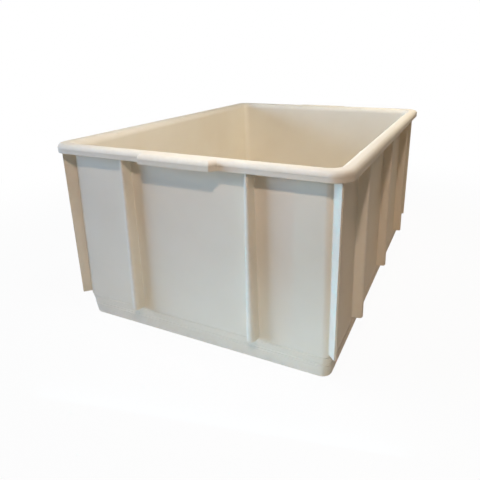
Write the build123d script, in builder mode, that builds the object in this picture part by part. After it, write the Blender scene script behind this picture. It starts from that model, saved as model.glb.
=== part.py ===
from build123d import *
import os

# Stackable moulded tote box: a straight-sided tub with a rolled rim, a grip tab at each end, upright ribs
# and corner fins whose feet land on the rim of the tote below, and a stepped base that drops into its mouth.
# Millimetres, +Z up, X across the ends, Y along the sides, the front end towards -Y.
# The origin is on the standing face, below the middle of the tote.

# Overall sizes
rim_length = 555.0
rim_width = 410.0
height = 258.0

# Rim: an upside-down channel whose inner leg stands on the walls
rim_breadth = 21.0
rim_depth = 12.5
rim_top_thickness = 3.0
skirt_thickness = 2.6
rim_corner_radius = 24.0
rim_outer_round = 5.5
mouth_round = 10.0

# Walls
wall_thickness = 3.0
wall_lean = 1.0
wall_corner_radius = 14.0

# Base: a shoulder below the walls, then a tapered band with a sloped ledge down to the standing face
foot_height = 34.0
shoulder_drop = 3.5
shoulder_thickness = 6.5
stack_clearance = 0.4
band_taper = 0.06
ledge_level = 20.0
ledge_fall = 5.0
ledge_step = 0.8
base_edge_round = 2.0
base_inner_round = 3.0
standing_width = 19.0
floor_thickness = 3.0
floor_recess = 1.5
floor_corner_radius = 12.0

# Grip tabs, where the rim is drawn outwards at the middle of each end, with slanted ends
tab_width = 99.0
tab_reach = 9.5
tab_end_run = 5.4
tab_corner_round = 6.0

# Ribs on the walls
end_rib_spacing = 175.0
side_rib_spacing = 327.0
rib_tip_inset_top = 4.0
rib_tip_inset_foot = 5.5
rib_tip_width_top = 4.5
rib_tip_width_foot = 11.0
rib_root_flare = 1.0
rib_nose_fullness = 0.4

# Fins on the diagonals of the corners
fin_tip_inset_top = 10.3
fin_tip_inset_foot = 14.2
fin_thickness_top = 4.0
fin_thickness_foot = 5.0
fin_nose_fullness = 0.27

# Levels and insets that follow from the sizes above. An inset is measured inwards from the rim's outer face.
skirt_level = height - rim_depth
rim_ceiling = height - rim_top_thickness
shoulder_level = foot_height - shoulder_drop
shoulder_top = shoulder_level + shoulder_thickness
floor_top = floor_recess + floor_thickness
ledge_foot = ledge_level - ledge_fall
mouth_inset = rim_breadth
wall_inset_top = mouth_inset - wall_thickness
wall_inset_foot = wall_inset_top + wall_lean
stack_level = foot_height - mouth_round
stack_inset = mouth_inset + stack_clearance
band_inset = stack_inset - band_taper * (shoulder_level - stack_level)
ledge_inset = stack_inset + band_taper * (stack_level - ledge_level)
ledge_foot_inset = ledge_inset + ledge_step
base_inset = ledge_foot_inset + band_taper * ledge_foot
floor_edge_inset = ledge_foot_inset + band_taper * (ledge_foot - floor_top)
floor_inset = base_inset + standing_width
corner_centre_inset = wall_inset_top + wall_corner_radius
half_width = rim_width / 2
half_length = rim_length / 2
half_tab = tab_width / 2
half_tab_root = half_tab + tab_end_run
half_tab_seat = half_tab_root + tab_corner_round

os.makedirs("parts", exist_ok=True)


def outline(inset, radius=None, mode=Mode.ADD):
    """A rounded rectangle at an inset; by default its corners share the wall corners' centres."""
    corner = corner_centre_inset - inset if radius is None else radius
    RectangleRounded(rim_width - 2 * inset, rim_length - 2 * inset, corner, mode=mode)


def finish(piece, label):
    """Name a finished piece and write it."""
    piece.label = label
    export_step(piece, f"parts/{label}.step")


def mitre_planes(side):
    """The two upright planes on the corner diagonals that bound one side, facing that side."""
    side_x, side_y = side
    for turn in (-1, 1):
        corner_x, corner_y = (turn, side_y) if side_y else (side_x, turn)
        towards = (-turn, side_y, 0) if side_y else (side_x, -turn, 0)
        yield Plane(origin=(corner_x * half_width, corner_y * half_length, 0), z_dir=towards)


def side_of(ring, side):
    """The stretch of a ring on one side of the tote, mitred on the corner diagonals."""
    with BuildPart() as stretch:
        add(ring)
        for plane in mitre_planes(side):
            split(bisect_by=plane, keep=Keep.TOP)
    return stretch.part


# The four sides, as directions in X and Y
sides = {"front": (0, -1), "back": (0, 1), "left": (-1, 0), "right": (1, 0)}

# Floor panel, held a little above the standing face
with BuildPart() as floor_panel:
    with BuildSketch(Plane.XY.offset(floor_recess)):
        outline(floor_inset, floor_corner_radius)
    extrude(amount=floor_thickness)
finish(floor_panel.part, "floor_panel")

# Base band: standing ring, tapered band and the shoulder that carries the walls
band_levels = ((ledge_foot, ledge_foot_inset), (ledge_level, ledge_inset), (shoulder_level, band_inset))
with BuildPart() as band_core:
    for level, inset in ((floor_top, floor_edge_inset), *band_levels, (shoulder_top, wall_inset_foot)):
        with BuildSketch(Plane.XY.offset(level)):
            outline(inset + wall_thickness)
    loft(ruled=True)
    fillet(band_core.faces().sort_by(Axis.Z)[0].edges(), base_inner_round)
with BuildPart() as base_band:
    for level, inset in ((0, base_inset), *band_levels):
        with BuildSketch(Plane.XY.offset(level)):
            outline(inset)
    loft(ruled=True)
    fillet(base_band.faces().sort_by(Axis.Z)[0].edges(), base_edge_round)
    with BuildSketch(Plane.XY.offset(shoulder_level)):
        outline(wall_inset_foot)
    extrude(amount=shoulder_thickness)
    add(band_core.part, mode=Mode.SUBTRACT)
    with BuildSketch():
        outline(floor_inset, floor_corner_radius)
    extrude(amount=floor_top, mode=Mode.SUBTRACT)
finish(base_band.part, "base_band")

# Walls: a drafted shell, cut into its four sides on the corner diagonals
with BuildPart() as wall_shell:
    with BuildSketch(Plane.XY.offset(shoulder_top)):
        outline(wall_inset_foot)
    with BuildSketch(Plane.XY.offset(skirt_level)):
        outline(wall_inset_top)
    loft(ruled=True)
    with BuildSketch(Plane.XY.offset(shoulder_top)):
        outline(wall_inset_foot + wall_thickness)
    with BuildSketch(Plane.XY.offset(skirt_level)):
        outline(mouth_inset)
    loft(ruled=True, mode=Mode.SUBTRACT)
for name, side in sides.items():
    finish(side_of(wall_shell.part, side), f"wall_{name}")

# Rim: outer face and rounded mouth first, then the channel under it for the fingers
with BuildPart() as rim_ring:
    with BuildSketch(Plane.XY.offset(skirt_level)) as rim_outline:
        outline(0, rim_corner_radius)
        tab_tip = half_length + tab_reach
        tab_root = ((half_tab_root, -half_length), (-half_tab_root, -half_length))
        Polygon(*tab_root, (-half_tab, -tab_tip), (half_tab, -tab_tip), align=None)
        mirror(about=Plane.XZ)
        tab_corners = rim_outline.vertices().filter_by_position(Axis.X, -half_tab_root, half_tab_root)
        fillet(tab_corners, tab_corner_round)
    extrude(amount=rim_depth)
    fillet(rim_ring.faces().sort_by(Axis.Z)[-1].edges(), rim_outer_round)
    with BuildSketch(Plane.XY.offset(skirt_level)):
        outline(mouth_inset)
    extrude(amount=rim_depth, mode=Mode.SUBTRACT)
    fillet(rim_ring.faces().sort_by(Axis.Z)[-1].inner_wires()[0].edges(), mouth_round)
    with BuildSketch(Plane.XY.offset(skirt_level)):
        add(rim_outline.sketch_local)
        offset(amount=-skirt_thickness, mode=Mode.REPLACE)
        outline(wall_inset_top, mode=Mode.SUBTRACT)
    extrude(amount=rim_depth - rim_top_thickness, mode=Mode.SUBTRACT)
    ceiling = rim_ring.faces().filter_by(Axis.Z).sort_by(Axis.Z)[-2]
    fillet(ceiling.inner_wires()[0].edges(), mouth_round - wall_thickness)

# The rim is divided into the two grip tabs, taken as far in as the rounded outer edge, and its four sides
tab_seat_depth = tab_reach + rim_outer_round
for end, side_y in (("front", -1), ("back", 1)):
    with BuildPart() as grip_tab:
        add(rim_ring.part)
        with BuildSketch(Plane.XY.offset(skirt_level)):
            with Locations((0, side_y * (half_length + tab_reach - tab_seat_depth / 2))):
                Rectangle(2 * half_tab_seat, tab_seat_depth)
        extrude(amount=rim_depth, mode=Mode.INTERSECT)
    finish(grip_tab.part, f"grip_tab_{end}")

with BuildPart() as plain_rim:
    add(rim_ring.part)
    with BuildSketch(Plane.XY.offset(skirt_level)):
        for side_y in (-1, 1):
            with Locations((0, side_y * (half_length + tab_reach - tab_seat_depth / 2))):
                Rectangle(2 * half_tab_seat, tab_seat_depth)
    extrude(amount=rim_depth, mode=Mode.SUBTRACT)
for name, side in sides.items():
    finish(side_of(plain_rim.part, side), f"rim_{name}")

# The tub's outer shape, filled, which gives the ribs and fins their root faces
with BuildPart() as tub_form:
    with BuildSketch(Plane.XY.offset(foot_height)):
        outline(wall_inset_foot)
    extrude(amount=shoulder_thickness)
    with BuildSketch(Plane.XY.offset(shoulder_top)):
        outline(wall_inset_foot)
    with BuildSketch(Plane.XY.offset(skirt_level)):
        outline(wall_inset_top)
    loft(ruled=True)
    with BuildSketch(Plane.XY.offset(skirt_level)):
        outline(wall_inset_top)
    extrude(amount=rim_depth)


def upright(label, origin, outwards, levels, flare, fullness):
    """An upright that stands on its foot level, seated on the tub and under the rim.

    Each level is a height, the reach from the origin to the tip, and the tip's width there. The root is
    wider than the tip by the flare on each side. The fullness is the nose's rounding over the tip's width.
    """
    sideways = (outwards[1], -outwards[0], 0)
    with BuildPart() as piece:
        for level, reach, tip_width in levels:
            half_tip = tip_width / 2
            half_root = half_tip + flare
            plan = ((-half_root, 0), (half_root, 0), (half_tip, reach), (-half_tip, reach))
            with BuildSketch(Plane(origin=(*origin, level), x_dir=sideways, z_dir=(0, 0, 1))) as section:
                Polygon(*plan, align=None)
                fillet(section.vertices().group_by(Axis.Y)[-1], fullness * tip_width)
        loft(ruled=True)
        add(tub_form.part, mode=Mode.SUBTRACT)
        add(rim_ring.part, mode=Mode.SUBTRACT)
    finish(piece.part, label)


# Two ribs on each wall, narrow under the rim and broad at the foot
rib_levels = (
    (foot_height, corner_centre_inset - rib_tip_inset_foot, rib_tip_width_foot),
    (rim_ceiling, corner_centre_inset - rib_tip_inset_top, rib_tip_width_top),
)
rib_shape = (rib_levels, rib_root_flare, rib_nose_fullness)
centre_x = half_width - corner_centre_inset
centre_y = half_length - corner_centre_inset
ends = {"front": -1, "back": 1}
flanks = {"left": -1, "right": 1}
for end, side_y in ends.items():
    for flank, side_x in flanks.items():
        end_rib_origin = (side_x * end_rib_spacing / 2, side_y * centre_y)
        upright(f"{end}_rib_{flank}", end_rib_origin, (0, side_y), *rib_shape)
        side_rib_origin = (side_x * centre_x, side_y * side_rib_spacing / 2)
        upright(f"{flank}_rib_{end}", side_rib_origin, (side_x, 0), *rib_shape)

# A thin fin on each corner's diagonal
diagonal = 2**0.5
fin_levels = (
    (foot_height, diagonal * (corner_centre_inset - fin_tip_inset_foot), fin_thickness_foot),
    (rim_ceiling, diagonal * (corner_centre_inset - fin_tip_inset_top), fin_thickness_top),
)
for end, side_y in ends.items():
    for flank, side_x in flanks.items():
        fin_origin = (side_x * centre_x, side_y * centre_y)
        upright(f"corner_fin_{end}_{flank}", fin_origin, (side_x, side_y), fin_levels, 0, fin_nose_fullness)
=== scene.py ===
"""Stacking tote box, moulded in natural polyethylene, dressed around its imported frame.

Metres, +Z up, X across the ends, Y along the sides, the front end towards -Y. Sizes of the moulding are
written in millimetres and turned into metres where the points go into a mesh.
"""

import logging
import math
from dataclasses import dataclass, field
from enum import Enum

import bpy
import numpy as np
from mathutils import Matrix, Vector


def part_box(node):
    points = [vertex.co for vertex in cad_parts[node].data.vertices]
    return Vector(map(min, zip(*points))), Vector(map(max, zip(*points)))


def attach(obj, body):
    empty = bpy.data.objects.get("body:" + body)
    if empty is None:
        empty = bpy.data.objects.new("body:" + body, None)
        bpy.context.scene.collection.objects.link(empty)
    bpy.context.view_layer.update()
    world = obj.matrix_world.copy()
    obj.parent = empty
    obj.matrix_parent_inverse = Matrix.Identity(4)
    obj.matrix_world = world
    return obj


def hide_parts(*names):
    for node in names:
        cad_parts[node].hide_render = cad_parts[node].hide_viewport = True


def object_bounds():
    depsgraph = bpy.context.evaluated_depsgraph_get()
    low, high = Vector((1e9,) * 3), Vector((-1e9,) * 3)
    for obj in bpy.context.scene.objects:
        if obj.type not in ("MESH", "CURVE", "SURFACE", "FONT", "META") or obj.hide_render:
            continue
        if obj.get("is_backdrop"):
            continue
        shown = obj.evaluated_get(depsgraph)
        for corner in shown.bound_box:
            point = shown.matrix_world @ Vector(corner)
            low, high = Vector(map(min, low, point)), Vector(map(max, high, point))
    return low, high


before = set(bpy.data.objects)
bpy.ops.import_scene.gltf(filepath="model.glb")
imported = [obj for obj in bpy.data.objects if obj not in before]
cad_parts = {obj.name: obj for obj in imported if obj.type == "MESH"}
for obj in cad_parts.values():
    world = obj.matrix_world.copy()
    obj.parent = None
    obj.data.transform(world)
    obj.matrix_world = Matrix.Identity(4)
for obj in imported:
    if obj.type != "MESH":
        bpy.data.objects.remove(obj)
CAD_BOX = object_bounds()

MM = 0.001
BODY = "root"
log = logging.getLogger("tote")


class Side(Enum):
    """The four sides of the tote, each with the way it faces in X and Y."""

    FRONT = (0, -1)
    BACK = (0, 1)
    LEFT = (-1, 0)
    RIGHT = (1, 0)

    @property
    def label(self) -> str:
        """The side's name as the frame's nodes write it."""
        return self.name.lower()


def linear(code: str) -> tuple[float, float, float, float]:
    """Turn an sRGB hex colour into the linear colour that shaders and lamps take.

    Args:
        code: Six hex digits with a leading mark.

    Returns:
        Linear red, green and blue, with full alpha.
    """
    srgb = np.array([int(code[k : k + 2], 16) for k in (1, 3, 5)]) / 255
    value = np.where(srgb <= 0.04045, srgb / 12.92, ((srgb + 0.055) / 1.055) ** 2.4)
    return (*value.tolist(), 1.0)


def add_node(tree: bpy.types.NodeTree, kind: str, inputs: dict | None = None, **settings) -> bpy.types.Node:
    """Add one node, set it and link it.

    Args:
        tree: The tree that takes the node.
        kind: The node's type name.
        inputs: For each input, by name or place, a plain value or another node's output.
        **settings: The node's own properties.

    Returns:
        The new node.
    """
    node = tree.nodes.new(kind)
    for name, value in settings.items():
        setattr(node, name, value)
    for name, value in (inputs or {}).items():
        if isinstance(value, bpy.types.NodeSocket):
            tree.links.new(value, node.inputs[name])
        else:
            node.inputs[name].default_value = value
    return node


def arc(inset: float, level: float, radius: float, start: float, stop: float, count: int = 7) -> np.ndarray:
    """A round in a section: the centre plus the radius turned from one angle to another.

    Args:
        inset: The centre's inset; 180 degrees points away from the tote.
        level: The centre's height.
        radius: The round's radius.
        start: The first angle in degrees.
        stop: The last angle in degrees.
        count: How many points.

    Returns:
        An array of insets and heights, one row per point.
    """
    angle = np.radians(np.linspace(start, stop, count))
    return np.column_stack([inset + radius * np.cos(angle), level + radius * np.sin(angle)])


def soft_ramp(along: np.ndarray, half: float) -> np.ndarray:
    """Nought below zero and the value itself above, with a parabola of the half width at the bend."""
    bend = (along + half) ** 2 / (4 * half)
    return np.where(along < -half, 0, np.where(along > half, along, bend))


@dataclass
class Section:
    """A closed section of a ring, point by point, in millimetres.

    Args:
        inset: Distance inwards from the rim's outer face.
        level: Height above the standing face.
        centre: Inset of the centre of the corner arcs that the point follows.
        pull: Share of the grip tab's reach that the point is drawn out by.
        wear: How much of an exposed edge the point is, from 0 to 1.
    """

    inset: np.ndarray
    level: np.ndarray
    centre: np.ndarray
    pull: np.ndarray
    wear: np.ndarray

    @classmethod
    def of(cls, *runs: tuple[object, float, float, float]) -> "Section":
        """Join runs of points, each with its corner centre, its pull and its wear.

        Args:
            *runs: Points as insets and heights, then the three values that they share.

        Returns:
            The joined section.
        """
        points = [np.asarray(run[0], float).reshape(-1, 2) for run in runs]
        shared = [np.repeat([run[1:]], len(p), axis=0) for run, p in zip(runs, points)]
        both = np.concatenate(points)
        rest = np.concatenate(shared).astype(float)
        return cls(both[:, 0], both[:, 1], rest[:, 0], rest[:, 1], rest[:, 2])


@dataclass
class ToteFrame:
    """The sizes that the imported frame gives, in millimetres.

    Args:
        half_width: From the middle to the rim's outer face at a long side.
        half_length: From the middle to the rim's outer face at an end.
        height: The rim's top.
        skirt_level: The lower edge of the rim's skirt.
        shoulder_top: Where the walls stand on the base.
        foot_level: The feet of the ribs and fins.
        wall_inset_top: The inset of the walls' outer face under the rim.
        wall_lean: How much further in that face is at the shoulder.
        corner_centre: The inset of the centres of the tub's corner arcs.
        rim_corner: The radius of the rim's outer corners.
    """

    half_width: float
    half_length: float
    height: float
    skirt_level: float
    shoulder_top: float
    foot_level: float
    wall_inset_top: float
    wall_lean: float = 1.0
    corner_centre: float = 32.0
    rim_corner: float = 24.0

    @classmethod
    def read(cls) -> "ToteFrame":
        """Take the sizes from the boxes of the rim, a wall and a rib.

        Returns:
            The sizes.
        """
        rim_low, rim_high = (np.array(p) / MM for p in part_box("rim_right"))
        end_low, _ = (np.array(p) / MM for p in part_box("rim_front"))
        wall_low, wall_high = (np.array(p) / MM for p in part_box("wall_right"))
        rib_low, _ = (np.array(p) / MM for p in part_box("front_rib_left"))
        return cls(
            half_width=float(rim_high[0]),
            half_length=float(-end_low[1]),
            height=float(rim_high[2]),
            skirt_level=float(rim_low[2]),
            shoulder_top=float(wall_low[2]),
            foot_level=float(rib_low[2]),
            wall_inset_top=float(rim_high[0] - wall_high[0]),
        )

    @property
    def wall_inset_foot(self) -> float:
        """The inset of the walls' outer face at the shoulder."""
        return self.wall_inset_top + self.wall_lean

    def wall_inset(self, level: np.ndarray) -> np.ndarray:
        """The inset of the wall's outer face: straight from the shoulder up to the skirt, then upright."""
        levels = (self.shoulder_top, self.skirt_level)
        return np.interp(level, levels, (self.wall_inset_foot, self.wall_inset_top))


@dataclass
class GripTab:
    """Where the rim is drawn outwards at the middle of each end, in millimetres.

    Args:
        half_width: From the middle to the end of the full reach.
        end_run: The length of the slope at each end.
        reach: How far the rim is drawn out.
        bend: Half the width of the round at each bend of the slope.
    """

    half_width: float = 49.4
    end_run: float = 5.4
    reach: float = 9.5
    bend: float = 0.8

    def outwards(self, along: np.ndarray, inset: np.ndarray) -> np.ndarray:
        """How far the rim's outer face is drawn out: a slope at each end, up to the full reach.

        Each bend of the slope moves towards the middle as the inset grows, by the tangent of half the
        slope's angle, so that the wall of the tab keeps its thickness.

        Args:
            along: Distance from the middle of the end.
            inset: Distance inwards from the outer face.

        Returns:
            The distance outwards.
        """
        slope = self.reach / self.end_run
        shift = math.tan(math.atan(slope) / 2) * inset
        tip = self.half_width - shift - np.abs(along)
        root = tip + self.end_run
        return slope * (soft_ramp(root, self.bend) - soft_ramp(tip, self.bend))


@dataclass
class RingPath:
    """The way round the tote that every ring follows: four straights and four corner arcs. Millimetres.

    Args:
        tote: The frame's sizes.
        tab: The grip tab, at whose slopes the stations lie close together.
        arc_steps: Stations of a corner arc.
        end_steps: Even stations of an end.
        side_steps: Even stations of a long side.
        tab_steps: Close stations at each slope of the tab.
        tab_margin: How far those reach beyond the slope, towards the middle and away from it.
        still_half: The distance from the middle of a side within which stations keep their place.
    """

    tote: ToteFrame
    tab: GripTab
    arc_steps: int = 14
    end_steps: int = 12
    side_steps: int = 16
    tab_steps: int = 30
    tab_margin: tuple[float, float] = (9.0, 5.0)
    still_half: float = 75.0
    along_x: np.ndarray = field(init=False)
    along_y: np.ndarray = field(init=False)
    turn: np.ndarray = field(init=False)

    def __post_init__(self) -> None:
        """Lay out the stations anticlockwise from the front's left end."""
        end_x = self.tote.half_width - self.tote.rim_corner
        end_y = self.tote.half_length - self.tote.rim_corner
        tab_from = self.tab.half_width - self.tab_margin[0]
        tab_to = self.tab.half_width + self.tab.end_run + self.tab_margin[1]
        close = np.linspace(tab_from, tab_to, self.tab_steps)
        even_x = np.linspace(-end_x, end_x, self.end_steps)
        even_x = even_x[(np.abs(even_x) < tab_from) | (np.abs(even_x) > tab_to)]
        across = np.sort(np.concatenate([even_x, close, -close]))
        beside = np.linspace(-end_y, end_y, self.side_steps)
        swing = np.linspace(0, np.pi / 2, self.arc_steps)[1:-1]
        still = np.ones_like(swing)
        x = (across, end_x * still, np.full_like(beside, end_x), end_x * still)
        y = (np.full_like(across, -end_y), -end_y * still, beside, end_y * still)
        turns = (np.full_like(across, -np.pi / 2), swing - np.pi / 2, np.zeros_like(beside), swing)
        self.along_x = np.concatenate([*x, *(-part for part in x)])
        self.along_y = np.concatenate([*y, *(-part for part in y)])
        self.turn = np.concatenate([*turns, *(part + np.pi for part in turns)])

    def carry(self, section: Section) -> np.ndarray:
        """Carry a section round the path.

        A point is a place on the rectangle through its corner centres, plus the outward direction times
        what is left of that centre's inset. The rectangle's stations keep their place near the middle of a
        side and close up towards its ends. On the two ends the grip tab's reach is added outwards.

        Args:
            section: The section, whose points become the columns.

        Returns:
            Points in metres, by station, by section point, by X, Y and Z.
        """
        inset, centre = section.inset[None, :], section.centre[None, :]
        x, y, turn = self.along_x[:, None], self.along_y[:, None], self.turn[:, None]
        closer = centre - self.tote.rim_corner
        spare_x = self.tote.half_width - self.tote.rim_corner - self.still_half
        spare_y = self.tote.half_length - self.tote.rim_corner - self.still_half
        x_skeleton = x - np.sign(x) * closer * np.clip((np.abs(x) - self.still_half) / spare_x, 0, 1)
        y_skeleton = y - np.sign(y) * closer * np.clip((np.abs(y) - self.still_half) / spare_y, 0, 1)
        on_end = np.isclose(np.abs(np.sin(turn)), 1)
        out = centre - inset + on_end * section.pull * self.tab.outwards(x, inset)
        level = np.broadcast_to(section.level, out.shape)
        places = (x_skeleton + np.cos(turn) * out, y_skeleton + np.sin(turn) * out, level)
        return np.stack(places, -1) * MM


@dataclass
class Skin:
    """A closed surface as a grid of points, whose columns run round.

    Args:
        name: The piece's name.
        points: Points in metres, by row, by column, by X, Y and Z.
        wear: How much of an exposed edge each point is, from 0 to 1.
        capped: Whether the first and last rows end in caps, or else join each other.
    """

    name: str
    points: np.ndarray
    wear: np.ndarray
    capped: bool

    def faces(self) -> list[list[int]]:
        """Quads between neighbouring grid points, and caps across the end rows where they don't join.

        Returns:
            The faces' point numbers, in the order that turns them outwards.
        """
        rows, columns = self.points.shape[:2]
        number = np.arange(rows * columns).reshape(rows, columns)
        here = number[:-1] if self.capped else number
        there = number[1:] if self.capped else np.roll(number, -1, axis=0)
        quads = np.stack([here, np.roll(here, -1, 1), np.roll(there, -1, 1), there], -1).reshape(-1, 4)
        caps = [number[0][::-1], number[-1]] if self.capped else []
        if self.volume(quads, caps) < 0:
            quads, caps = quads[:, ::-1], [cap[::-1] for cap in caps]
        return quads.tolist() + [cap.tolist() for cap in caps]

    def volume(self, quads: np.ndarray, caps: list[np.ndarray]) -> float:
        """The signed volume: a sixth of the triple products of all triangles, fans in the caps.

        Args:
            quads: The point numbers of each quad.
            caps: The point numbers of each cap.

        Returns:
            The volume in cubic metres, below nought where the faces point inwards.
        """
        fans = [np.stack([np.full(len(c) - 2, c[0]), c[1:-1], c[2:]], -1) for c in caps]
        triangles = np.concatenate([quads[:, :3], quads[:, [0, 2, 3]], *fans])
        a, b, c = np.moveaxis(self.points.reshape(-1, 3)[triangles], 1, 0)
        return float(np.einsum("ij,ij->i", a, np.cross(b, c)).sum() / 6)

    def build(self, finish: bpy.types.Material, nodes: list[str], sharp: float = 32.0) -> bpy.types.Object:
        """Make the object, dress it and let it stand for its nodes.

        Args:
            finish: The material.
            nodes: The frame's nodes that the piece stands for, if it has any.
            sharp: The angle in degrees from which an edge stays sharp.

        Returns:
            The finished piece, riding on the frame.
        """
        mesh = bpy.data.meshes.new(self.name)
        mesh.from_pydata(self.points.reshape(-1, 3).tolist(), [], self.faces())
        mesh.polygons.foreach_set("use_smooth", np.ones(len(mesh.polygons), bool))
        mesh.set_sharp_from_angle(angle=math.radians(sharp))
        worn = mesh.attributes.new("edge_wear", "FLOAT", "POINT")
        wear = np.broadcast_to(self.wear, self.points.shape[:2])
        worn.data.foreach_set("value", wear.ravel().astype(np.float32))
        mesh.materials.append(finish)
        mesh.validate()
        piece = bpy.data.objects.new(self.name, mesh)
        bpy.context.scene.collection.objects.link(piece)
        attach(piece, BODY)
        if nodes:
            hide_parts(*nodes)
        log.info("%s: %d faces", self.name, len(mesh.polygons))
        return piece


@dataclass
class RimRoll:
    """The rolled rim, an upside-down channel, with its two grip tabs. Millimetres.

    Args:
        path: The way round the tote.
        seam_step: The tool's parting line under the outer round: set-back and distance below the round.
        edge_round: The round of the skirt's lower edge.
        outer_round: The round from the skirt over to the top.
        mouth_round: The round from the top down into the tote.
        flat_margin: How far the top's flat stays clear of the rounds.
        top_thickness: The plastic's thickness over the channel.
        skirt_thickness: The skirt's thickness.
        inner_round: The round between the channel's ceiling and the skirt.
        wall_thickness: The thickness of the inner leg, which stands on the wall.
        leg_foot: The height of the leg's straight foot.
    """

    path: RingPath
    seam_step: tuple[tuple[float, float], ...] = ((0.35, 1.6), (0.35, 0.5), (0.315, 0.35), (0.02, 0.15))
    edge_round: float = 0.8
    outer_round: float = 6.5
    mouth_round: float = 10.0
    flat_margin: float = 0.6
    top_thickness: float = 3.0
    skirt_thickness: float = 2.6
    inner_round: float = 1.5
    wall_thickness: float = 3.0
    leg_foot: float = 2.0

    def section(self) -> Section:
        """Up the skirt and over the rounded top, down the mouth and back along the channel.

        Returns:
            The rim's section.
        """
        tote, edge, outer, inner = self.path.tote, self.edge_round, self.outer_round, self.inner_round
        low, top, leg = tote.skirt_level, tote.height, tote.wall_inset_top
        centre, wall_centre = tote.rim_corner, tote.corner_centre
        mouth, foot = leg + self.wall_thickness, low + self.leg_foot
        roll, roll_level = mouth - self.mouth_round, top - self.mouth_round
        seam, ceiling, skirt = top - outer, top - self.top_thickness, self.skirt_thickness
        back = self.seam_step[0][0]
        step = [(inwards, seam - below) for inwards, below in self.seam_step]
        return Section.of(
            (arc(back + edge, low + edge, edge, 270, 180, 5), centre, 1, 1),
            (step, centre, 1, 0.3),
            (arc(outer, seam, outer, 180, 90, 10), centre, 1, 0.8),
            ((outer + self.flat_margin, top), centre, 1, 0.2),
            ((roll - self.flat_margin, top), wall_centre, 0, 0.2),
            (arc(roll, roll_level, self.mouth_round, 90, 0, 10), wall_centre, 0, 0.5),
            (((mouth, foot), (mouth, low), (leg, low), (leg, foot)), wall_centre, 0, 0),
            (arc(roll, roll_level, ceiling - roll_level, 0, 90, 7), wall_centre, 0, 0),
            (arc(skirt + inner, ceiling - inner, inner, 90, 180, 5), centre, 1, 0),
            (arc(skirt - edge, low + edge, edge, 0, -90, 5), centre, 1, 0.6),
        )

    def build(self, finish: bpy.types.Material) -> bpy.types.Object:
        """Carry the section round the tote and stand for the rim and the tabs.

        Args:
            finish: The material.

        Returns:
            The rim.
        """
        section = self.section()
        nodes = [f"rim_{side.label}" for side in Side] + ["grip_tab_front", "grip_tab_back"]
        return Skin("rim_roll", self.path.carry(section), section.wear, False).build(finish, nodes)


@dataclass
class TubWall:
    """The four drafted walls, from the shoulder up to the rim's inner leg. Millimetres."""

    path: RingPath
    thickness: float = 3.0
    rows: int = 12

    def section(self) -> Section:
        """Up the outer face and down the inner one, each straight between shoulder and skirt.

        Returns:
            The wall's section.
        """
        tote = self.path.tote
        up = np.linspace(tote.shoulder_top, tote.skirt_level, self.rows)
        outer = np.column_stack([tote.wall_inset(up), up])
        inner = outer[::-1] + (self.thickness, 0)
        return Section.of((outer, tote.corner_centre, 0, 0), (inner, tote.corner_centre, 0, 0))

    def build(self, finish: bpy.types.Material) -> bpy.types.Object:
        """Carry the section round the tote and stand for the walls.

        Args:
            finish: The material.

        Returns:
            The walls, as one piece.
        """
        section = self.section()
        nodes = [f"wall_{side.label}" for side in Side]
        return Skin("tub_wall", self.path.carry(section), section.wear, False).build(finish, nodes)


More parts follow.
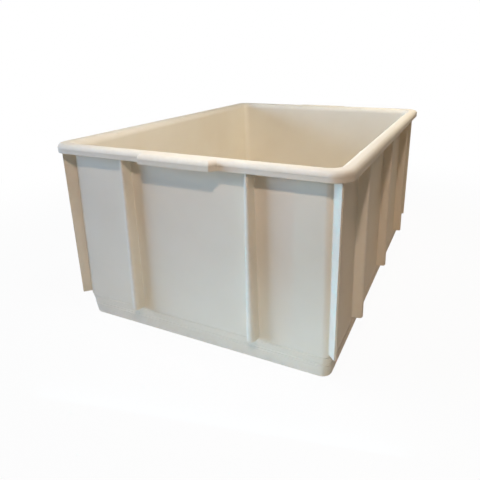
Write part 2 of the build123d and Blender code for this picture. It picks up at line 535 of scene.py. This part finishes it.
@dataclass
class StackingBase:
    """The tapered base that drops into the tote below, and the floor panel inside its ring. Millimetres.

    Args:
        path: The way round the tote.
        shoulder_level: The underside of the shoulder, on which the walls stand.
        band_inset: The band's inset under the shoulder.
        taper: How much the band draws in for each millimetre down.
        ledge_level: The top of the ledge round the band.
        ledge_foot: The bottom of the ledge's slope.
        ledge_step: How far the ledge draws in, beyond the taper.
        ledge_land: The run of plain band above each of the ledge's grooves.
        wall_thickness: The band's thickness.
        foot_round: The round at the standing face.
        inner_round: The round between the floor and the band, inside.
        shoulder_round: The round of the shoulder's lower edge.
        shoulder_groove: Depth and height of the groove under the shoulder.
        groove_run: The height from the shoulder down to plain band.
        ledge_groove: Depth and height of each groove of the ledge.
        crease: The height over which a groove's edge runs out.
        corner_ease: How much larger the corners' rounds are, at the ledge and at the foot.
        standing_width: The width of the ring that stands on the ground.
        ring_edge: The bevel on the ring's inner edge.
        floor_corner: The inset of the centres of the floor panel's corner arcs.
        floor_low: The floor panel's underside.
        floor_top: The floor panel's top.
        floor_rings: Rings of points on each face of the floor panel.
        floor_span: The share that those rings cover, up to a small middle cap.
        floor_crowding: The power by which they crowd towards the edge.
    """

    path: RingPath
    shoulder_level: float = 30.5
    band_inset: float = 20.0
    taper: float = 0.11
    ledge_level: float = 20.0
    ledge_foot: float = 15.0
    ledge_step: float = 0.4
    ledge_land: float = 1.5
    wall_thickness: float = 3.0
    foot_round: float = 2.0
    inner_round: float = 3.0
    shoulder_round: float = 0.8
    shoulder_groove: tuple[float, float] = (0.5, 1.8)
    groove_run: float = 4.0
    ledge_groove: tuple[float, float] = (0.45, 0.8)
    crease: float = 0.3
    corner_ease: tuple[float, float] = (2.0, 4.0)
    standing_width: float = 19.0
    ring_edge: float = 0.5
    floor_corner: float = 54.34
    floor_low: float = 1.5
    floor_top: float = 4.5
    floor_rings: int = 9
    floor_span: float = 0.96
    floor_crowding: float = 1.5

    def band(self, level: float) -> float:
        """The band's inset at a height: a taper, with one sloped step across the ledge.

        Args:
            level: The height.

        Returns:
            The inset.
        """
        steps = (0, self.ledge_foot, self.ledge_level, self.shoulder_level)
        upper = self.band_inset + self.taper * (self.shoulder_level - self.ledge_level)
        lower = upper + self.ledge_step
        insets = (lower + self.taper * self.ledge_foot, lower, upper, self.band_inset)
        return float(np.interp(level, steps, insets))

    @property
    def floor_inset(self) -> float:
        """Where the standing ring ends and the floor panel begins."""
        return self.band(0) + self.standing_width

    def section(self) -> Section:
        """Down the shoulder, band and ledge, under the standing ring and up again on the inside.

        Returns:
            The band's section.
        """
        tote = self.path.tote
        top, low, face = tote.shoulder_top, self.shoulder_level, tote.wall_inset_foot
        small, crease, thick = self.shoulder_round, self.crease, self.wall_thickness
        wall, ring, floor = tote.corner_centre, self.floor_corner, self.floor_inset
        lean, stretch = math.degrees(math.atan(self.taper)), math.hypot(1, self.taper)
        foot, inner, floor_top, bevel = self.foot_round, self.inner_round, self.floor_top, self.ring_edge
        foot_centre = self.band(foot) + foot * stretch
        inner_level = floor_top + inner
        inner_centre = self.band(inner_level) + thick + inner * stretch
        eased, most_eased = self.corner_ease
        deep, high = self.shoulder_groove
        groove = (deep, low), (deep, low - high), (0, low - high - crease), (0, low - self.groove_run)
        under = [(self.band(level) + inwards, level) for inwards, level in groove]
        deep, high = self.ledge_groove
        bends = (self.ledge_level, self.ledge_foot + self.ledge_land)
        cut = ((0, self.ledge_land), (0, crease), (deep, 0), (deep, -high), (0, -high - crease))
        cuts = [(inwards, bend + above) for bend in bends for inwards, above in cut]
        down = [(self.band(level) + inwards, level) for inwards, level in cuts]
        up = [(self.band(level) + thick, level) for level in (self.ledge_foot, self.ledge_level, low)]
        return Section.of(
            ((face, top), wall, 0, 0),
            (arc(face + small, low + small, small, 180, 270, 5), wall, 0, 0.7),
            (under, wall, 0, 0),
            (down, wall + eased, 0, 0.25),
            (arc(foot_centre, foot, foot, 180 + lean, 270, 9), wall + most_eased, 0, 1),
            (((floor - bevel, 0), (floor, bevel), (floor, floor_top)), ring, 0, 0.6),
            (arc(inner_centre, inner_level, inner, 270, 180 + lean, 7), wall + most_eased, 0, 0),
            (up, wall + eased, 0, 0),
            ((face + thick, top), wall, 0, 0),
        )

    def build(self, finish: bpy.types.Material) -> None:
        """Carry the section round for the band, then close its ring with the floor panel.

        Args:
            finish: The material.
        """
        section = self.section()
        Skin("stacking_base", self.path.carry(section), section.wear, False).build(finish, ["base_band"])
        self.floor_skin().build(finish, ["floor_panel"])

    def floor_skin(self) -> Skin:
        """The floor: the ring's inner outline times a share that falls towards the middle, below and above.

        Returns:
            The floor panel's surface.
        """
        share = 1 - self.floor_span * np.linspace(0, 1, self.floor_rings) ** self.floor_crowding
        rim = Section.of(((self.floor_inset, self.floor_low), self.floor_corner, 0, 0))
        outline = self.path.carry(rim)[:, 0]
        level = np.repeat([self.floor_low, self.floor_top], self.floor_rings)
        scale = np.concatenate([share[::-1], share])
        points = scale[:, None, None] * outline[None] * (1, 1, 0)
        points[..., 2] = level[:, None] * MM
        return Skin("floor_panel_skin", points, np.zeros(1), True)


@dataclass
class Upright:
    """A rib or fin that stands out from the tub and lands on the rim of the tote below. Millimetres.

    Args:
        name: Its name, as the frame's nodes write it.
        place: X and Y of the point that its reach is measured from.
        facing: The outward direction in X and Y, of length 1.
        root: Distance from the place to the tub's outer face, at each row.
        reach: Distance from the tub's face to the nose, at each row.
        half: Half the nose's width, at each row.
        level: Height of each row.
        flare: How much wider the root is than the nose, on each side.
        fullness: The nose's rounding over its width.
        face_radius: Radius of the tub's face at the root, or nought where it is flat.
        fillet: The round between the tub's face and the flank.
        sink: How deep the root reaches into the wall.
        fillet_points: Points along that round.
        nose_points: Points along half the nose.
        rubbing_power: The power by which the rubbing gathers at the nose.
    """

    name: str
    place: tuple[float, float]
    facing: tuple[float, float]
    root: np.ndarray
    reach: np.ndarray
    half: np.ndarray
    level: np.ndarray
    flare: float
    fullness: float
    face_radius: float = 0.0
    fillet: float = 1.8
    sink: float = 0.8
    fillet_points: int = 6
    nose_points: int = 8
    rubbing_power: int = 4

    def half_section(self) -> tuple[np.ndarray, np.ndarray]:
        """Half of the section at each row: a round out of the wall, a straight flank and a rounded nose.

        Returns:
            The distance sideways and the distance outwards from the wall, by row and by point.
        """
        half, reach = self.half[:, None], self.reach[:, None]
        nose = 2 * self.fullness * half
        rise = np.radians(np.linspace(0, 90, self.fillet_points))[None]
        wide = half + self.flare + self.fillet
        root_side = wide - self.fillet * np.sin(rise)
        root_out = np.broadcast_to(self.fillet * (1 - np.cos(rise)), root_side.shape)
        nose_turn = np.radians(np.linspace(0, 90, self.nose_points))[None]
        nose_side = half - nose * (1 - np.cos(nose_turn))
        nose_out = reach - nose * (1 - np.sin(nose_turn))
        sunk = np.full_like(half, -self.sink)
        side = np.concatenate([wide, root_side, nose_side], 1)
        out = np.concatenate([sunk, root_out, nose_out], 1)
        if self.face_radius:
            drop = self.face_radius - np.sqrt(np.maximum(self.face_radius**2 - side**2, 0))
            out = out - drop * np.clip(1 - out / self.fillet, 0, 1)
        return side, out

    def skin(self) -> Skin:
        """Mirror the half section, stack the rows and set them against the tub.

        Returns:
            The closed surface, rubbed towards its nose.
        """
        side, out = self.half_section()
        across = np.concatenate([side, -side[:, ::-1]], 1)
        outwards = np.concatenate([out, out[:, ::-1]], 1) + self.root[:, None]
        ahead_x, ahead_y = self.facing
        x = self.place[0] + ahead_x * outwards + ahead_y * across
        y = self.place[1] + ahead_y * outwards - ahead_x * across
        z = np.broadcast_to(self.level[:, None], x.shape)
        nose = np.clip((out - self.fillet) / (self.reach[:, None] - self.fillet), 0, 1)
        wear = np.concatenate([nose, nose[:, ::-1]], 1) ** self.rubbing_power
        return Skin(f"{self.name}_skin", np.stack([x, y, z], -1) * MM, wear, True)


@dataclass
class Uprights:
    """All ribs on the walls and all fins on the corner diagonals. Millimetres.

    Args:
        tote: The frame's sizes.
        end_rib_half_spacing: From the middle of an end to each of its two ribs.
        side_rib_half_spacing: From the middle rib of a long side to its outer two.
        rib_nose_inset: The inset of a rib's nose, at the foot and under the rim.
        rib_nose_width: The nose's width there.
        rib_flare: How much wider a rib's root is than its nose, on each side.
        rib_fullness: The rounding of a rib's nose over its width.
        fin_nose_inset: The inset of a fin's nose, at the foot and under the rim.
        fin_width: The fin's thickness there.
        fin_fullness: The rounding of a fin's nose over its thickness.
        fin_fillet: The round at a fin's root.
        foot_round: The round of the foot's edge.
        foot_points: Rows along that round.
        ceiling: How far below the rim's top they end, inside the channel.
        rows: Rows from foot to ceiling.
    """

    tote: ToteFrame
    end_rib_half_spacing: float = 87.5
    side_rib_half_spacing: float = 163.5
    rib_nose_inset: tuple[float, float] = (5.5, 4.0)
    rib_nose_width: tuple[float, float] = (11.0, 4.5)
    rib_flare: float = 1.0
    rib_fullness: float = 0.42
    fin_nose_inset: tuple[float, float] = (14.2, 10.3)
    fin_width: tuple[float, float] = (3.2, 2.4)
    fin_fullness: float = 0.14
    fin_fillet: float = 0.9
    foot_round: float = 1.0
    foot_points: int = 5
    ceiling: float = 3.0
    rows: int = 14

    def rows_of(self, inset: tuple[float, float], width: tuple[float, float]) -> tuple[np.ndarray, ...]:
        """Lay out the rows from foot to ceiling.

        The first rows round the foot's edge: they rise by one less the cosine and draw in by one less the
        sine of the same angle, times the round.

        Args:
            inset: The nose's inset at the foot and under the rim.
            width: The nose's width at the foot and under the rim.

        Returns:
            Each row's height, the nose's inset, and half the nose's width.
        """
        low, high = self.tote.foot_level, self.tote.height - self.ceiling
        turn = np.radians(np.linspace(0, 90, self.foot_points))
        rise = low + self.foot_round * (1 - np.cos(turn))
        level = np.concatenate([rise, np.linspace(low, high, self.rows)[1:]])
        draw_in = np.concatenate([self.foot_round * (1 - np.sin(turn)), np.zeros(self.rows - 1)])
        nose_inset = np.interp(level, (low, high), inset) + draw_in
        half = np.interp(level, (low, high), width) / 2 - draw_in
        return level, nose_inset, half

    def ribs(self) -> list[Upright]:
        """Two ribs on each end and three on each side, narrow under the rim and broad at the foot.

        Returns:
            The ribs, side by side.
        """
        level, nose_inset, half = self.rows_of(self.rib_nose_inset, self.rib_nose_width)
        wall = self.tote.wall_inset(level)
        shape = (-wall, wall - nose_inset, half, level, self.rib_flare, self.rib_fullness)
        places = []
        for side in Side:
            ahead_x, ahead_y = side.value
            spacing = self.end_rib_half_spacing if ahead_y else self.side_rib_half_spacing
            marks = {"left": -1, "right": 1} if ahead_y else {"front": -1, "middle": 0, "back": 1}
            for mark, sign in marks.items():
                x = ahead_x * self.tote.half_width + abs(ahead_y) * sign * spacing
                y = ahead_y * self.tote.half_length + abs(ahead_x) * sign * spacing
                places.append((f"{side.label}_rib_{mark}", (x, y), side.value))
        return [Upright(*place, *shape) for place in places]

    def fins(self) -> list[Upright]:
        """A thin fin on each corner's diagonal, measured from the centre of the corner's arcs.

        Returns:
            The four fins.
        """
        level, nose_inset, half = self.rows_of(self.fin_nose_inset, self.fin_width)
        centre = self.tote.corner_centre
        radius = centre - self.tote.wall_inset(level)
        reach = math.sqrt(2) * (centre - nose_inset) - radius
        x, y = self.tote.half_width - centre, self.tote.half_length - centre
        way = math.sqrt(0.5)
        fins = []
        for end in (Side.FRONT, Side.BACK):
            for flank in (Side.LEFT, Side.RIGHT):
                turn_x, turn_y = flank.value[0], end.value[1]
                name = f"corner_fin_{end.label}_{flank.label}"
                place, facing = (turn_x * x, turn_y * y), (turn_x * way, turn_y * way)
                fin = Upright(name, place, facing, radius, reach, half, level, 0.0, self.fin_fullness)
                fin.face_radius, fin.fillet = float(radius.mean()), self.fin_fillet
                fins.append(fin)
        return fins

    def build(self, finish: bpy.types.Material) -> None:
        """Make every rib and fin, each standing for its own node where the frame has one."""
        for upright in self.ribs() + self.fins():
            upright.skin().build(finish, [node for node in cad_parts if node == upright.name])


# Places of the colour sockets on a Mix node
MIX_FACTOR, MIX_A, MIX_B, MIX_RESULT = 0, 6, 7, 2


@dataclass(frozen=True)
class Clouds:
    """A cloudy pattern, whose patches are about its size in millimetres, with finer layers as its detail."""

    size_mm: float
    detail: float

    def build(self, tree: bpy.types.NodeTree, place: bpy.types.NodeSocket) -> bpy.types.NodeSocket:
        """The pattern at a place, from 0 to 1."""
        inputs = {"Vector": place, "Scale": 1 / (self.size_mm * MM), "Detail": self.detail}
        return add_node(tree, "ShaderNodeTexNoise", inputs).outputs["Fac"]


@dataclass(frozen=True)
class MouldedPolyethylene:
    """Natural high-density polyethylene, injection-moulded against a satin tool.

    To the eye it is a warm cream that drifts a little along the flow of the melt. It has a low, soft gloss, a
    faintly uneven skin where thick and thin places shrank, and paler rubbed lines on the edges that touch
    other totes.

    Args:
        name: The material's name.
        cream: The plastic's colour, and cream_deep the deeper one that it drifts to.
        rubbed: The colour of a rubbed edge, and rubbed_most how much of it shows at most.
        roughness: The skin's least and most roughness.
        ior: The plastic's index of refraction, and shine how much of its gloss is left on worn, matt skin.
        glow_weight: The share of light that soaks in, glow_mm how deep, and glow_tint how far each colour.
        flow: The drift of the melt, and flow_range the part of it that runs from the deep cream to the plain.
        skin: The satin of the tool, coarser than the real one so that it shows, and skin_depth_mm its depth.
        sink: The places that shrank, and sink_depth_mm their depth.
        rub: The broken patches of rubbing, and rub_range the part of them that runs from none to most.
    """

    name: str = "injection_moulded_polyethylene"
    cream: str = "#EFE8D7"
    cream_deep: str = "#E9E0CD"
    rubbed: str = "#F7F3EA"
    rubbed_most: float = 0.3
    roughness: tuple[float, float] = (0.58, 0.7)
    ior: float = 1.54
    shine: float = 0.15
    glow_weight: float = 0.08
    glow_mm: float = 3.0
    glow_tint: tuple[float, float, float] = (1.0, 0.8, 0.55)
    flow: Clouds = Clouds(110.0, 3.0)
    flow_range: tuple[float, float] = (0.3, 0.7)
    skin: Clouds = Clouds(3.0, 2.0)
    skin_depth_mm: float = 0.012
    sink: Clouds = Clouds(60.0, 1.0)
    sink_depth_mm: float = 0.25
    rub: Clouds = Clouds(7.0, 5.0)
    rub_range: tuple[float, float] = (0.4, 0.7)

    def build(self) -> bpy.types.Material:
        """Wire the finish on Object coordinates and the pieces' own edge_wear.

        Returns:
            The material.
        """
        material = bpy.data.materials.new(self.name)
        material.use_nodes = True
        tree = material.node_tree
        tree.nodes.clear()
        place = add_node(tree, "ShaderNodeTexCoord").outputs["Object"]
        low, high = self.flow_range
        drifting = {"Value": self.flow.build(tree, place), "From Min": low, "From Max": high}
        drift = add_node(tree, "ShaderNodeMapRange", drifting).outputs["Result"]
        tones = {MIX_FACTOR: drift, MIX_A: linear(self.cream_deep), MIX_B: linear(self.cream)}
        tone = add_node(tree, "ShaderNodeMix", tones, data_type="RGBA").outputs[MIX_RESULT]
        rub = self.rubbing(tree, place)
        rubs = {MIX_FACTOR: rub, MIX_A: tone, MIX_B: linear(self.rubbed)}
        colour = add_node(tree, "ShaderNodeMix", rubs, data_type="RGBA").outputs[MIX_RESULT]
        skin = self.skin.build(tree, place)
        low, high = self.roughness
        rough = {"Value": skin, "To Min": low, "To Max": high}
        satin = add_node(tree, "ShaderNodeMapRange", rough).outputs["Result"]
        shrunk = {"Height": self.sink.build(tree, place), "Distance": self.sink_depth_mm * MM}
        hollows = add_node(tree, "ShaderNodeBump", shrunk).outputs["Normal"]
        grained = {"Height": skin, "Distance": self.skin_depth_mm * MM, "Normal": hollows}
        grain = add_node(tree, "ShaderNodeBump", grained).outputs["Normal"]
        shader = add_node(
            tree,
            "ShaderNodeBsdfPrincipled",
            {
                "Base Color": colour,
                "Roughness": satin,
                "IOR": self.ior,
                "Specular IOR Level": self.shine,
                "Normal": grain,
                "Subsurface Weight": self.glow_weight,
                "Subsurface Radius": self.glow_tint,
                "Subsurface Scale": self.glow_mm * MM,
            },
        )
        add_node(tree, "ShaderNodeOutputMaterial", {"Surface": shader.outputs["BSDF"]})
        return material

    def rubbing(self, tree: bpy.types.NodeTree, place: bpy.types.NodeSocket) -> bpy.types.NodeSocket:
        """How rubbed a spot is: the edge's wear times broken patches.

        Args:
            tree: The material's nodes.
            place: The Object coordinates.

        Returns:
            The rubbed share, from 0 to its most.
        """
        worn = add_node(tree, "ShaderNodeAttribute", attribute_name="edge_wear").outputs["Fac"]
        low, high = self.rub_range
        patches = {"Value": self.rub.build(tree, place), "From Min": low, "From Max": high}
        patches["To Max"] = self.rubbed_most
        broken = add_node(tree, "ShaderNodeMapRange", patches).outputs["Result"]
        return add_node(tree, "ShaderNodeMath", {0: worn, 1: broken}, operation="MULTIPLY").outputs["Value"]


def seen_directly(tree: bpy.types.NodeTree) -> bpy.types.NodeSocket:
    """Tell rays that see a thing from the light that it sends on to others.

    Args:
        tree: The tree that takes the nodes.

    Returns:
        One for rays from the camera and for reflected or refracted rays, nought for all other light.
    """
    path = add_node(tree, "ShaderNodeLightPath").outputs
    shine = {0: path["Is Glossy Ray"], 1: path["Is Transmission Ray"]}
    mirrored = add_node(tree, "ShaderNodeMath", shine, operation="MAXIMUM").outputs["Value"]
    rays = {0: path["Is Camera Ray"], 1: mirrored}
    return add_node(tree, "ShaderNodeMath", rays, operation="MAXIMUM").outputs["Value"]


@dataclass(frozen=True)
class PaperSweep:
    """Matt white studio paper: even and without gloss, so that only the tote's shadow shows on it.

    Args:
        name: The material's name.
        white: The paper as it is seen.
        paper: The paper's own warmer colour, for the light that it sends back.
        evenness: The share of even white where the tote's shadow falls.
        shadow_from: The distance in metres from which the shadow fades.
        shadow_to: The distance in metres at which it is gone.
    """

    name: str = "matt_white_paper"
    white: str = "#FFFFFF"
    paper: str = "#F0DCC4"
    evenness: float = 0.95
    shadow_from: float = 0.4
    shadow_to: float = 1.0

    def build(self) -> bpy.types.Material:
        """White where it is seen, less the tote's shadow, and warmer for the light that it sends back.

        The paper is evenly white by a share that grows to one with the distance from the tote, so that it
        runs into the white of the room without a line.

        Returns:
            The material.
        """
        material = bpy.data.materials.new(self.name)
        material.use_nodes = True
        tree = material.node_tree
        tree.nodes.clear()
        seen = seen_directly(tree)
        sheet = {MIX_FACTOR: seen, MIX_A: linear(self.paper), MIX_B: linear(self.white)}
        colour = add_node(tree, "ShaderNodeMix", sheet, data_type="RGBA").outputs[MIX_RESULT]
        paper = add_node(tree, "ShaderNodeBsdfDiffuse", {"Color": colour}).outputs["BSDF"]
        plain = {"Color": linear(self.white), "Strength": 1.0}
        light = add_node(tree, "ShaderNodeEmission", plain).outputs["Emission"]
        place = add_node(tree, "ShaderNodeTexCoord").outputs["Object"]
        away = add_node(tree, "ShaderNodeVectorMath", {0: place}, operation="LENGTH").outputs["Value"]
        fade = {"Value": away, "From Min": self.shadow_from, "From Max": self.shadow_to}
        fade["To Min"] = self.evenness
        even = add_node(tree, "ShaderNodeMapRange", fade, interpolation_type="SMOOTHSTEP").outputs["Result"]
        share = add_node(tree, "ShaderNodeMath", {0: seen, 1: even}, operation="MULTIPLY").outputs["Value"]
        both = add_node(tree, "ShaderNodeMixShader", {0: share, 1: paper, 2: light}).outputs["Shader"]
        add_node(tree, "ShaderNodeOutputMaterial", {"Surface": both})
        return material


@dataclass(frozen=True)
class Lamp:
    """One lamp with a flat, even face. Metres, degrees and watts.

    Args:
        name: The lamp's name.
        towards: The direction from the aim to the lamp.
        distance: The distance from the aim to the lamp.
        size: The face's width and height.
        colour: The light's colour.
        power: The light's power.
        spread: The angle of its beam, from edge to edge.
        aim_shift: How far its own aim lies from the studio's.
    """

    name: str
    towards: tuple[float, float, float]
    distance: float
    size: tuple[float, float]
    colour: str
    power: float
    spread: float = 180.0
    aim_shift: tuple[float, float, float] = (0.0, 0.0, 0.0)

    def build(self, aim: Vector) -> None:
        """Hang the lamp in its direction from its aim, facing it.

        Args:
            aim: The point that the studio's lamps face.
        """
        light = bpy.data.lights.new(self.name, "AREA")
        light.shape = "RECTANGLE"
        light.size, light.size_y = self.size
        light.energy, light.color = self.power, linear(self.colour)[:3]
        light.spread = math.radians(self.spread)
        lamp = bpy.data.objects.new(self.name, light)
        way = Vector(self.towards).normalized()
        lamp.location = aim + Vector(self.aim_shift) + way * self.distance
        lamp.rotation_euler = way.to_track_quat("Z", "Y").to_euler()
        bpy.context.scene.collection.objects.link(lamp)


@dataclass
class Studio:
    """The paper floor, the lamps, the surrounding light and the camera. Metres and degrees.

    Args:
        aim: The point that the lamps face, in the middle of the tote.
        floor_half: Half the floor's width.
        ambient: The colour of the dim light from all round, and ambient_strength its strength.
        white: The room where it is seen.
        lamps: The lamps.
        camera_place: The camera's place.
        camera_turn: The camera's turn about X, Y and Z.
        lens: The focal length in millimetres, for a sensor as wide as the next value.
        sensor: The sensor's width in millimetres.
        shift: The picture's shift, in widths of the picture.
    """

    aim: tuple[float, float, float] = (0.0, 0.0, 0.15)
    floor_half: float = 6.0
    ambient: str = "#B0B4BC"
    ambient_strength: float = 0.02
    white: str = "#FFFFFF"
    lamps: tuple[Lamp, ...] = (
        Lamp("key_front_right", (0.3, -0.78, 0.69), 1.084, (0.05, 0.05), "#FFE7D8", 2.75),
        Lamp("cool_fill_left", (-4.3, -2.49, 0.52), 4.996, (2.4, 2.4), "#AAD2FF", 242.0),
        Lamp("overhead_front", (0.0, -0.3, 0.47), 0.558, (0.1, 0.1), "#F4F9FF", 1.12),
        Lamp("overhead_back_right", (0.24, 0.26, 0.49), 0.604, (0.2, 0.2), "#FFF6E6", 1.25),
        Lamp("warm_fill_right", (0.5, 0.2, 0.6), 0.806, (0.12, 0.12), "#FFE0BC", 0.45),
        Lamp("soft_fill_back", (-0.9, 2.2, 0.15), 2.382, (1.6, 0.5), "#FFF4E8", 21.0),
        Lamp("warm_fill_left", (-2.4, 0.2, 0.03), 2.41, (0.3, 0.1), "#FFCB92", 10.5),
        Lamp("low_strip_front", (0.085, -0.375, -0.138), 0.409, (0.4, 0.015), "#B0E4FF", 0.068),
        Lamp(
            "cool_beam_on_fin",
            (-1.0, -0.25, 0.02),
            1.1,
            (0.02, 0.2),
            "#20E0FF",
            0.011,
            spread=8.0,
            aim_shift=(0.192, -0.274, 0.0),
        ),
    )
    camera_place: tuple[float, float, float] = (0.30317, -0.68803, 0.36979)
    camera_turn: tuple[float, float, float] = (75.5303, 0.6312, 24.772)
    lens: float = 33.436
    sensor: float = 36.0
    shift: tuple[float, float] = (-0.0508, -0.1467)

    def build(self) -> None:
        """Lay the floor, light the room and set the camera."""
        self.lay_floor()
        for lamp in self.lamps:
            lamp.build(Vector(self.aim))
        self.light_room()
        self.set_camera()
        bpy.context.scene.view_settings.view_transform = "Standard"

    def lay_floor(self) -> None:
        """One wide sheet of paper under the standing face."""
        corner = np.array([(-1, -1, 0), (1, -1, 0), (1, 1, 0), (-1, 1, 0)]) * self.floor_half
        mesh = bpy.data.meshes.new("paper_floor")
        mesh.from_pydata(corner.tolist(), [], [[0, 1, 2, 3]])
        mesh.materials.append(PaperSweep().build())
        floor = bpy.data.objects.new("paper_floor", mesh)
        bpy.context.scene.collection.objects.link(floor)
        floor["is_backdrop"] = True

    def light_room(self) -> None:
        """Even dim light from all round, and plain white where the room itself is seen."""
        world = bpy.data.worlds.new("studio_room")
        world.use_nodes = True
        tree = world.node_tree
        tree.nodes.clear()
        dim = {"Color": linear(self.ambient), "Strength": self.ambient_strength}
        ambient = add_node(tree, "ShaderNodeBackground", dim).outputs["Background"]
        plain = {"Color": linear(self.white), "Strength": 1.0}
        white = add_node(tree, "ShaderNodeBackground", plain).outputs["Background"]
        both = {0: seen_directly(tree), 1: ambient, 2: white}
        room = add_node(tree, "ShaderNodeMixShader", both).outputs["Shader"]
        add_node(tree, "ShaderNodeOutputWorld", {"Surface": room})
        bpy.context.scene.world = world

    def set_camera(self) -> None:
        """The photograph's viewpoint, for a square picture."""
        data = bpy.data.cameras.new("photo_camera")
        data.lens, data.sensor_width, data.sensor_fit = self.lens, self.sensor, "HORIZONTAL"
        data.shift_x, data.shift_y = self.shift
        camera = bpy.data.objects.new("photo_camera", data)
        camera.location = self.camera_place
        camera.rotation_euler = [math.radians(angle) for angle in self.camera_turn]
        bpy.context.scene.collection.objects.link(camera)
        bpy.context.scene.camera = camera


def write_sizes() -> None:
    """Set the frame's box and the dressed part's box beside each other."""
    boxes = {"cad": CAD_BOX, "visual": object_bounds()}
    {name: [list(corner) for corner in box] for name, box in boxes.items()}


def main() -> None:
    """Build the tote from its base up, then the studio round it."""
    logging.basicConfig(level=logging.INFO, format="%(message)s")
    polyethylene = MouldedPolyethylene().build()
    tote = ToteFrame.read()
    path = RingPath(tote, GripTab())
    StackingBase(path).build(polyethylene)
    TubWall(path).build(polyethylene)
    RimRoll(path).build(polyethylene)
    Uprights(tote).build(polyethylene)
    Studio().build()
    write_sizes()


if __name__ == "__main__":
    main()
